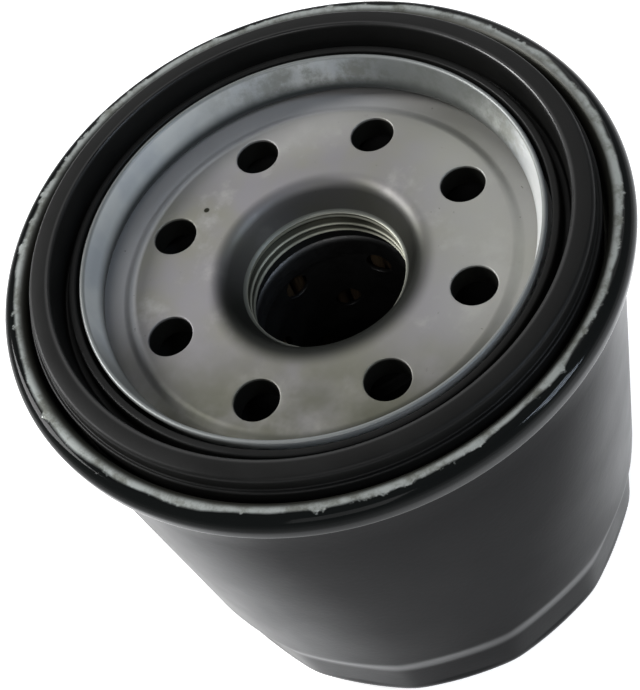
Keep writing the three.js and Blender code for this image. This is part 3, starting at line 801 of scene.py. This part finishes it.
def add_inlet_hole(bm, index):
    """One inlet hole with its share of the plate."""
    pitch = 2 * math.pi / HOLE_COUNT

    def at(u, v):
        angle = (index - 0.5 + u) * pitch
        radius = PATCH_IN + (PATCH_OUT - PATCH_IN) * v
        return Vector(polar(radius, angle))

    def put(point, depth):
        return (*point, PLATE_FACE - depth)

    centre = Vector(polar(HOLE_CIRCLE, index * pitch))
    boundary = patch_loop(at, PATCH_STEPS, PATCH_SIDE)
    add_hole_patch(bm, boundary, centre, HOLE_RADIUS, PLATE_SHEET, EDGE_ROUND, put)


def thread_shape(top, foot):
    """Pushes the bore out along a right-hand helix between two heights."""
    run_out = THREAD_PITCH / 2
    flank, crest_flat = 1.25, 0.12

    def shape(angle, r, z):
        if r > THREAD_MAJOR or not foot < z < top:
            return r, z
        phase = (z / THREAD_PITCH - angle / (2 * math.pi)) % 1
        ridge = min(1.0, max(0.0, flank * (1 - abs(2 * phase - 1)) - crest_flat))
        fade = min(1.0, (top - z) / run_out, (z - foot) / run_out)
        return r + (THREAD_MAJOR - THREAD_MINOR) * ridge * fade, z

    return shape


def rim_outline():
    """The plate outside its holes, from below round its edge and up the step."""
    under, rim_face = PLATE_FACE - PLATE_SHEET, PLATE_FACE - PLATE_STEP
    chamfer = 0.4
    ramp_start, ramp_length, ramp_steps = PLATE_STEP_RADIUS + 1.3, 1.4, 6
    outline = [(PATCH_OUT, under), (PLATE_RADIUS - chamfer, under), (PLATE_RADIUS, under + chamfer)]
    outline += [(PLATE_RADIUS, rim_face - chamfer), (PLATE_RADIUS - chamfer, rim_face)]
    outline += [(26.0, rim_face), (23.8, rim_face)]
    for i in range(ramp_steps + 1):
        share = i / ramp_steps
        outline.append((ramp_start - ramp_length * share, rim_face + PLATE_STEP * smooth(share)))
    return outline + [(PATCH_OUT, PLATE_FACE)]


def neck_outline(lip, thread_top, thread_foot):
    """The plate inside its holes: the funnel, the bore and the neck's outside."""
    under = PLATE_FACE - PLATE_SHEET
    slope = math.radians(FUNNEL_SLOPE)
    cone = FUNNEL_DEPTH - FUNNEL_ROUND * (1 - math.cos(slope))
    bend = FUNNEL_LIP + cone / math.tan(slope) + FUNNEL_ROUND * math.sin(slope)
    bore = arc(bend, PLATE_FACE - FUNNEL_ROUND, FUNNEL_ROUND, 90, 90 + FUNNEL_SLOPE, 14)
    bore += [(FUNNEL_LIP + 0.1, lip + 0.12), (FUNNEL_LIP, lip), (FUNNEL_LIP - 0.06, lip - 0.12)]
    length = thread_foot - thread_top
    bore += [(THREAD_MINOR, thread_top + length * i / THREAD_STEPS) for i in range(THREAD_STEPS + 1)]
    bore += [(THREAD_MINOR + 0.4, NECK_END)]
    bore += [(NECK_RADIUS - 0.3, NECK_END), (NECK_RADIUS, NECK_END + 0.3)]
    bore += arc(NECK_RADIUS + 0.5, under - 0.5, 0.5, 180, 90, 4)
    return [(PATCH_IN, PLATE_FACE)] + bore + [(PATCH_IN, under)]


def make_base_plate(material):
    lip = PLATE_FACE - FUNNEL_DEPTH
    thread_top, thread_foot = lip - 0.25, NECK_END + 0.3
    steps = HOLE_COUNT * PATCH_STEPS
    shape = thread_shape(thread_top, thread_foot)
    bm = bmesh.new()
    for outline in (rim_outline(), neck_outline(lip, thread_top, thread_foot)):
        rows = []
        for i in range(steps):
            angle = 2 * math.pi * (i / steps - 0.5 / HOLE_COUNT)
            moved = [shape(angle, r, z) for r, z in outline]
            rows.append([bm.verts.new((*polar(r, angle), z)) for r, z in moved])
        for i, row in enumerate(rows):
            join_loops(bm, row, rows[(i + 1) % steps], closed=False)
    for index in range(HOLE_COUNT):
        add_inlet_hole(bm, index)
    piece = make_piece("threaded_base_plate", bm, material, 50)
    modifier = piece.modifiers.new("flat_faces", "WEIGHTED_NORMAL")
    modifier.keep_sharp = True
    place(piece, "housing", "plate_steel", "base_plate")


# ---- Anti-drainback valve ----
def make_drainback(material):
    hub_foot, hub_top = low("drainback_hub").z, high("drainback_hub").z
    hub_bore, hub_edge = low_inner("drainback_hub"), high("drainback_hub").x
    clamp_top = NECK_END - 0.3
    sleeve_in, sleeve_out = NECK_RADIUS + 0.3, 13.9
    hub = [
        (hub_bore, hub_foot),
        (hub_edge, hub_foot),
        (hub_edge, clamp_top),
        (sleeve_out, clamp_top),
        (sleeve_out, hub_top),
        (sleeve_in, hub_top),
        (sleeve_in, clamp_top),
        (hub_bore, clamp_top),
    ]
    piece = make_piece("diaphragm_hub", lathe(rounded(hub, 0.3), MID_STEPS), material)
    place(piece, "housing", "valve_rubber", "drainback_hub")
    root = hub_edge - 0.25
    edge, edge_top = high("drainback_lip").x, high("drainback_lip").z
    waist = high("drainback_membrane").x
    skirt = [
        (root, hub_foot + 0.15),
        (root + 0.9, hub_foot + 0.25),
        (waist, edge_top - 2.15),
        (edge - 0.4, edge_top - 1.7),
        (edge, edge_top - 0.9),
        (edge - 0.6, edge_top),
        (waist + 0.3, edge_top - 0.75),
        (root + 0.9, clamp_top - 0.1),
        (root, clamp_top - 0.15),
    ]
    radii = (0.1, 0.8, 0.8, 0.3, 0.25, 0.25, 0.8, 0.8, 0.1)
    piece = make_piece("diaphragm_skirt", lathe(rounded(skirt, radii), MID_STEPS), material)
    nodes = "drainback_membrane", "drainback_lip"
    flex(piece, "housing", "drainback_flap", clamp_top - 0.4, edge_top - 1.2, "valve_rubber", *nodes)


# ---- Filter element ----
CAP_SHEET = 0.5
CAP_BEND = 0.7
PLEAT_COUNT = 36
PAPER = 0.6


def make_end_caps(material, dark_material):
    """The two pressed caps: a collar in the tube above, and a hole for the valve seat below."""
    half = CAP_SHEET / 2
    face = high("upper_end_cap").z - half
    foot = low("upper_end_cap").z + half
    collar, rim = low_inner("upper_end_cap") + half, high("upper_end_cap").x - half
    line = [(collar, foot), (collar, foot + 1)]
    line += arc(collar + CAP_BEND, face - CAP_BEND, CAP_BEND, 180, 90)
    line += arc(rim - CAP_BEND, face - CAP_BEND, CAP_BEND, 90, 0)
    line += [(rim, foot + 1), (rim, foot)]
    # The upper cap takes the darker tube steel, as painted shade inside the can.
    piece = make_piece("upper_cap", lathe(sheet(line, CAP_SHEET), MID_STEPS), dark_material)
    place(piece, "element", "cap_steel", "upper_end_cap")
    face = low("lower_end_cap").z + half
    top = high("lower_end_cap").z - half
    hole, rim = low_inner("lower_end_cap") + half, high("lower_end_cap").x - half
    line = [(hole, face), (hole + 1, face)]
    line += arc(rim - CAP_BEND, face + CAP_BEND, CAP_BEND, 270, 360)
    line += [(rim, top - 1), (rim, top)]
    piece = make_piece("lower_cap", lathe(sheet(line, CAP_SHEET), MID_STEPS), material)
    place(piece, "element", "cap_steel", "lower_end_cap")


def make_potting(material):
    """Two resin rings, each with the pleats' print in the face that holds the paper."""
    for node, name, side in (("upper_potting", "upper_resin", -1), ("lower_potting", "lower_resin", 1)):
        foot, top = low(node).z, high(node).z
        inner, outer = low_inner(node), high(node).x
        middle = (foot + top) / 2
        steps = 16
        face = [(inner + (outer - inner) * i / steps, foot) for i in range(steps + 1)]
        back = [(r, top) for r, z in face[::-1]]

        def printed(angle, r, z):
            ripple = 0.06 * math.cos(PLEAT_COUNT * angle)
            ripple *= smooth((r - inner) / 3) * smooth((outer - r) / 2)
            rough = 0.05 * noise.noise(Vector((*polar(r, angle), z)) * 0.6)
            on_face = (z - middle) * side > 0
            return r, z - side * (0.12 + ripple + rough if on_face else 0.0)

        piece = make_piece(name, lathe(face + back, 2 * ROUND_STEPS, printed), material)
        place(piece, "element", "potting_resin", node)


def pleat_outline():
    """The closed line through the paper's thickness, seen from above, with rounded folds."""
    outer, inner = high("pleated_media").y - PAPER / 2, low_inner("pleated_media") + PAPER / 2
    fold, fold_round = 0.45, 0.34  # half a fold's width, and its radius
    clipped = 1.2  # how much shorter the pleat under the clip is
    corners = []
    for i in range(PLEAT_COUNT):
        middle = 2 * math.pi * i / PLEAT_COUNT
        between = middle + math.pi / PLEAT_COUNT
        crest = outer - clipped if i == 0 else outer
        for radius, angle in ((crest, middle), (inner, between)):
            for side in (-1, 1):
                corners.append(polar(radius, angle + side * fold / radius))
    return rounded(corners, fold_round, 3)


def make_paper(material):
    line = pleat_outline()
    sides = offset(line, PAPER / 2, closed=True), offset(line, -PAPER / 2, closed=True)
    foot, top = low("pleated_media").z, high("pleated_media").z
    levels = 16
    bm = bmesh.new()
    walls = []
    for side in sides:
        rings = []
        for level in range(levels + 1):
            share = level / levels
            z = foot + (top - foot) * share
            sway = math.sin(math.pi * share)
            ring = []
            for x, y in side:
                turn = 0.006 * sway * noise.noise(Vector((x * 0.4, y * 0.4, z * 0.18)))
                ring.append(bm.verts.new((x - y * turn, y + x * turn, z)))
            rings.append(ring)
        join_rings(bm, rings)
        walls.append(rings)
    for level in (0, -1):
        join_loops(bm, walls[0][level], walls[1][level])
    piece = make_piece("pleated_paper", bm, material, 60)
    place(piece, "element", "filter_paper", "pleated_media")


def make_clip(material):
    """The crimped strip over the fold where the paper's two ends meet."""
    lowest, highest = low("media_seam_clip"), high("media_seam_clip")
    gauge, bend, crimp = 0.4, 0.35, 0.07
    inside, outside = lowest.x, highest.x - gauge / 2
    half = highest.y - gauge / 2
    line = [(inside, -half)]
    line += arc(outside - bend, bend - half, bend, -90, 0, 4)
    line += arc(outside - bend, half - bend, bend, 0, 90, 4)
    line += [(inside, half)]
    outline = sheet(line, gauge)
    bm = bmesh.new()
    rings = []
    teeth, tooth_steps = 20, 4
    levels = tooth_steps * teeth
    for level in range(levels + 1):
        z = lowest.z + (highest.z - lowest.z) * level / levels
        pinch = crimp * (1 - math.cos(2 * math.pi * level / tooth_steps))
        rings.append([bm.verts.new((x, y * (1 - pinch * (x < outside - 1)), z)) for x, y in outline])
    join_rings(bm, rings)
    bm.faces.new(rings[0])
    bm.faces.new(rings[-1])
    piece = make_piece("paper_clip", bm, material)
    place(piece, "element", "cap_steel", "media_seam_clip")


def make_tube(material):
    """The perforated tube: rows of round holes, each row turned by half a hole's spacing."""
    rows, around = 4, 6
    steps, sides = 16, 12  # segments along one hole's patch
    hole_radius, edge_round = 1.7, 0.12
    outer, wall = high("centre_tube").x, 0.5
    foot, top = low("centre_tube").z, high("centre_tube").z
    pitch = 2 * math.pi * outer / around
    margin = 0.3  # plain tube at each end, as a share of a row's height
    row_height = (top - foot) / (rows + 2 * margin)
    first_row = foot + margin * row_height
    bm = bmesh.new()

    def put(point, depth):
        return (*polar(outer - depth, point.x / outer), point.y)

    for row in range(rows):
        for index in range(around):
            left = (index + row % 2 / 2) * pitch
            below = first_row + row * row_height

            def at(u, v):
                return Vector((left + u * pitch, below + v * row_height))

            boundary = patch_loop(at, steps, sides)
            add_hole_patch(bm, boundary, at(0.5, 0.5), hole_radius, wall, edge_round, put)
    count = around * steps
    last_row = first_row + rows * row_height
    for inward, end in ((first_row, foot), (last_row, top)):
        rings = []
        for depth, z in ((0, inward), (0, end), (wall, end), (wall, inward)):
            points = [Vector((i * 2 * math.pi * outer / count, z)) for i in range(count)]
            rings.append([bm.verts.new(put(point, depth)) for point in points])
        join_rings(bm, rings)
    piece = make_piece("perforated_tube", bm, material)
    place(piece, "element", "cap_steel", "centre_tube")


# ---- Bypass valve ----
def make_turned(name, node, corner, material, body, slot, outline):
    """A small turned or pressed part with rounded edges, in place of its CAD node."""
    piece = make_piece(name, lathe(rounded(outline, corner, 3), SMALL_STEPS), material)
    place(piece, body, slot, node)


def make_bypass(metal, dark_metal, rubber):
    seat_low, seat_high = low("bypass_seat"), high("bypass_seat")
    bore, neck, flange = low_inner("bypass_seat"), 7.9, 0.9
    flange_top = seat_low.z + flange
    seat = [
        (bore, seat_low.z),
        (seat_high.x, seat_low.z),
        (seat_high.x, flange_top),
        (neck, flange_top),
        (neck, seat_high.z),
        (bore, seat_high.z),
    ]
    make_turned("valve_seat", "bypass_seat", 0.2, metal, "element", "cap_steel", seat)
    for name, node, material, slot in (
        ("valve_seal", "bypass_seal", rubber, "valve_rubber"),
        ("valve_disc", "bypass_disc", metal, "cap_steel"),
    ):
        inner, outer = low_inner(node), high(node).x
        foot, top = low(node).z, high(node).z
        washer = [(inner, foot), (outer, foot), (outer, top), (inner, top)]
        make_turned(name, node, 0.18, material, "bypass_poppet", slot, washer)
    foot, top = low("bypass_stem").z, high("bypass_stem").z
    head, rod, collar = high("bypass_stem").x, 1.2, 2.2
    head_top = foot + 0.8
    collar_foot = high("bypass_disc").z + 0.3
    collar_top = collar_foot + 0.6
    axis = 0.02  # the outline stays just off the axis
    stem = [
        (axis, foot),
        (head, foot),
        (head, head_top),
        (rod, head_top),
        (rod, collar_foot),
        (collar, collar_foot),
        (collar, collar_top),
        (rod, collar_top),
        (rod, top),
        (axis, top),
    ]
    radii = (0.01, 0.25, 0.25, 0.12, 0.1, 0.15, 0.15, 0.12, 0.5, 0.01)
    make_turned("valve_stem", "bypass_stem", radii, dark_metal, "bypass_poppet", "spring_steel", stem)


def make_cage(material):
    """The pressed cage with its four windows cut through the wall."""
    half = CAP_SHEET / 2
    wall, brim = 8.6, high("bypass_cage").x
    foot, top = low("bypass_cage").z + half, high("bypass_cage").z - half
    hole = low_inner("bypass_cage") + half
    bend = 0.8
    line = [(brim - half, foot)]
    line += arc(wall + bend, foot + bend, bend, 270, 180, 5)
    line += arc(wall - bend, top - bend, bend, 0, 90, 5)
    line += [(hole, top)]
    piece = make_piece("valve_cage", lathe(sheet(line, CAP_SHEET), 2 * SMALL_STEPS), material, 35)
    window, middle = 3.5, 23.2  # half a window's side, and its middle's height
    corners = [(-window, middle - window), (window, middle - window)]
    corners += [(window, middle + window), (-window, middle + window)]
    section = rounded(corners, 0.9, 5)
    for turn in (0, math.pi / 2):
        bm = bmesh.new()
        ends = []
        for x in (-2 * wall, 2 * wall):
            end = []
            for y, z in section:
                across = x * math.cos(turn) - y * math.sin(turn)
                back = x * math.sin(turn) + y * math.cos(turn)
                end.append(bm.verts.new((across, back, z)))
            ends.append(end)
        join_loops(bm, *ends)
        bm.faces.new(ends[0])
        bm.faces.new(ends[1])
        carve(piece, make_piece("cutter", bm, material))
    place(piece, "element", "cap_steel", "bypass_cage")


def carve(piece, cutter):
    """Cuts one mesh out of another for good."""
    modifier = piece.modifiers.new("cut", "BOOLEAN")
    modifier.object = cutter
    modifier.operation = "DIFFERENCE"
    bpy.context.view_layer.update()
    result = piece.evaluated_get(bpy.context.evaluated_depsgraph_get())
    mesh = bpy.data.meshes.new_from_object(result)
    piece.modifiers.clear()
    piece.data = mesh
    bpy.data.objects.remove(cutter)


# ---- Springs ----
def wound_wire(foot, top, foot_radius, top_radius, wire, turns):
    """A round wire wound into a spring whose end turns lie flat."""
    steps, sides, flat_turns = round(48 * turns), 14, 0.5
    reach = 0.002  # share of the wire over which its direction is taken
    flat = flat_turns / turns
    bm = bmesh.new()
    rings = []

    def centre(share):
        angle = 2 * math.pi * turns * share
        radius = foot_radius + (top_radius - foot_radius) * share
        rise = min(1.0, max(0.0, (share - flat) / (1 - 2 * flat)))
        z = foot + wire / 2 + (top - foot - wire) * rise
        return Vector((*polar(radius, angle), z))

    for i in range(steps + 1):
        share = i / steps
        here = centre(share)
        ahead = (centre(share + reach) - centre(share - reach)).normalized()
        across = Vector((here.x, here.y, 0)).normalized()
        above = across.cross(ahead)
        ring = []
        for k in range(sides):
            angle = 2 * math.pi * k / sides
            outward = across * math.cos(angle) + above * math.sin(angle)
            ring.append(bm.verts.new(here + outward * wire / 2))
        rings.append(ring)
    join_rings(bm, rings)
    bm.faces.new(rings[0])
    bm.faces.new(rings[-1])
    return bm


def make_springs(material):
    foot, top = low("element_spring").z, high("element_spring").z
    coil = wound_wire(foot, top, foot_radius=15, top_radius=12.5, wire=1.6, turns=3.5)
    piece = make_piece("element_coil", coil, material)
    flex(piece, "housing", "element", foot + 1, top - 1, "spring_steel", "element_spring")
    foot, top = low("bypass_spring").z, high("bypass_spring").z
    coil = wound_wire(foot, top, foot_radius=4.2, top_radius=4.2, wire=0.9, turns=4.5)
    piece = make_piece("valve_coil", coil, material)
    flex(piece, "element", "bypass_poppet", top - 0.6, foot + 0.6, "spring_steel", "bypass_spring")


make_camera()
make_world()
make_floor()
area_light("key", 95, 36, (320, 320), 8)
area_light("soft_box", 27, 44, (760, 560), 1.2)
for elevation in (32, 40, 49):
    area_light("window_pane", -87, elevation, (230, 20), 0.8, WINDOW_BLUE)
area_light("fill", -165, 48, (400, 400), 1.6)

paint = paint_finish()
plate_steel = plate_finish()
worn_zinc = lid_finish()
gasket_rubber = rubber_finish("gasket_rubber", (0.0055, 0.0055, 0.0052), 0.42, RUBBED_RADIUS)
valve_rubber = rubber_finish("valve_rubber", (0.008, 0.008, 0.008), 0.6)
cap_steel = steel_finish("cap_steel", (0.20, 0.20, 0.185), 0.42)
tube_steel = steel_finish("tube_steel", (0.10, 0.10, 0.10), 0.5)
spring_steel = steel_finish("spring_steel", (0.17, 0.18, 0.19), 0.32)
paper = paper_finish()
resin = resin_finish()

make_can(paint)
make_lid(worn_zinc)
make_gasket(gasket_rubber)
make_base_plate(plate_steel)
make_drainback(valve_rubber)
make_end_caps(cap_steel, tube_steel)
make_potting(resin)
make_paper(paper)
make_clip(cap_steel)
make_tube(tube_steel)
make_bypass(cap_steel, spring_steel, valve_rubber)
make_cage(cap_steel)
make_springs(spring_steel)

bpy.context.scene.view_settings.view_transform = "Standard"
